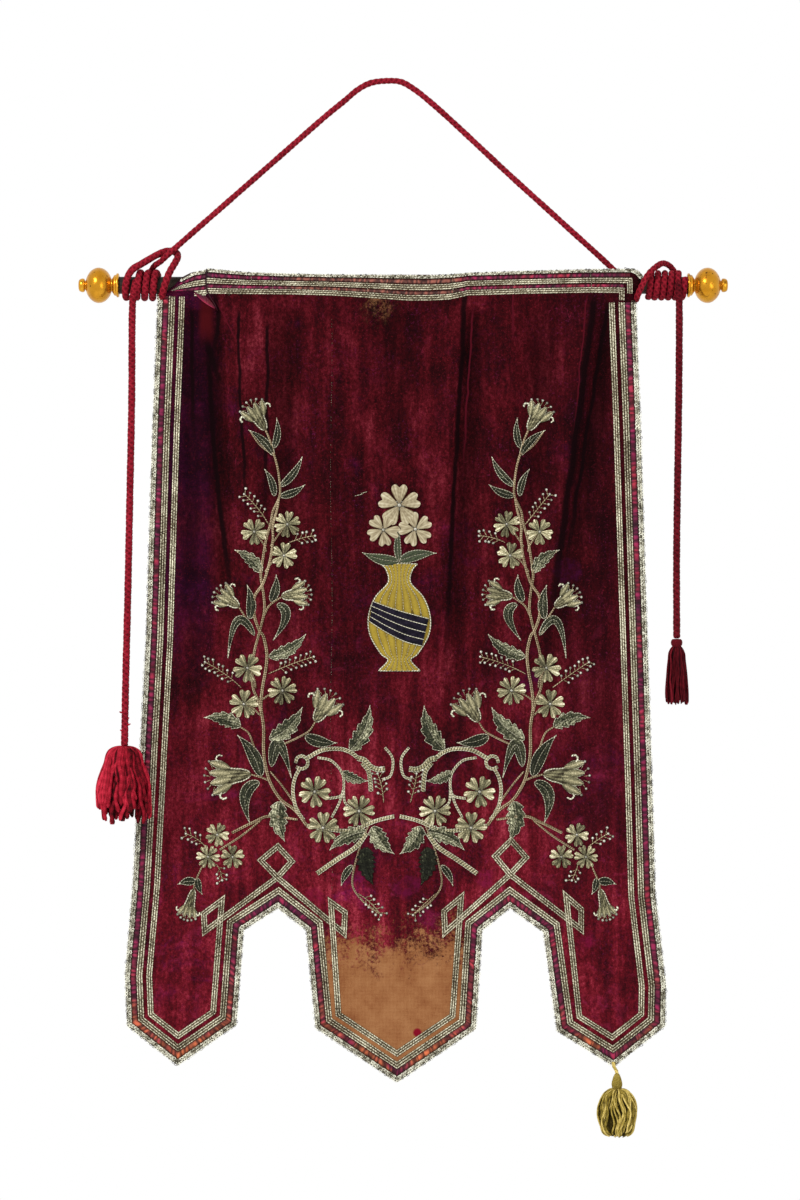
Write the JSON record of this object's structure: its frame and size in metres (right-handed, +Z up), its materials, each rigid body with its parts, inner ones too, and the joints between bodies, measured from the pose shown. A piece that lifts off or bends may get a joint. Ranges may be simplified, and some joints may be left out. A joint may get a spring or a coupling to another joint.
{
  "type": "church banner with rod",
  "caption": "Velvet hanging banner with pointed lappets, woven trims and gold embroidery, on a gilt-ended wooden rod with a looped cord and tassels.",
  "frame": {"origin": "underside of the cord's peak, where a hook carries the banner", "axes": "+X along the rod to the viewer's right, +Y away from the viewer, +Z up"},
  "size_m": [0.9735, 0.1123, 1.5875],
  "materials": {
    "velvet": "worn silk velvet",
    "lace": "aged metal-thread lace",
    "ribbon": "gathered silk ribbon",
    "galloon": "woven gilt braid",
    "cord": "braided rope",
    "gilt": "worn gilding on turned wood",
    "rod": "dark stained",
    "gold_floss": "dull gold floss",
    "ochre_satin": "quilted satin",
    "black_velvet": "dark velvet",
    "cream_silk": "silk",
    "leaf_silk": "silk"
  },
  "bodies": {
    "root": {"rod": "rod", "finial_left": "gilt", "finial_right": "gilt", "banner_cloth": "velvet", "edging_lace": "lace", "ruched_ribbon": "ribbon", "galloon_outer": "galloon", "galloon_inner": "galloon", "heading_lace": "lace", "heading_ribbon_upper": "ribbon", "heading_galloon_upper": "galloon", "heading_ribbon_lower": "ribbon", "heading_galloon_lower": "galloon", "applique_vase": "ochre_satin", "applique_sash": "black_velvet", "applique_leaves": "leaf_silk", "applique_blooms": "cream_silk", "wrap_left": "cord", "wrap_right": "cord", "sling_cord": "cord", "hitch_left": "cord", "tail_left": "cord", "tail_right": "cord", "tassel_left": "cord", "tassel_right": "cord", "gold_tassel": "gold_floss", "gold_tassel_loop": "gold_floss"}
  },
  "joints": []
}
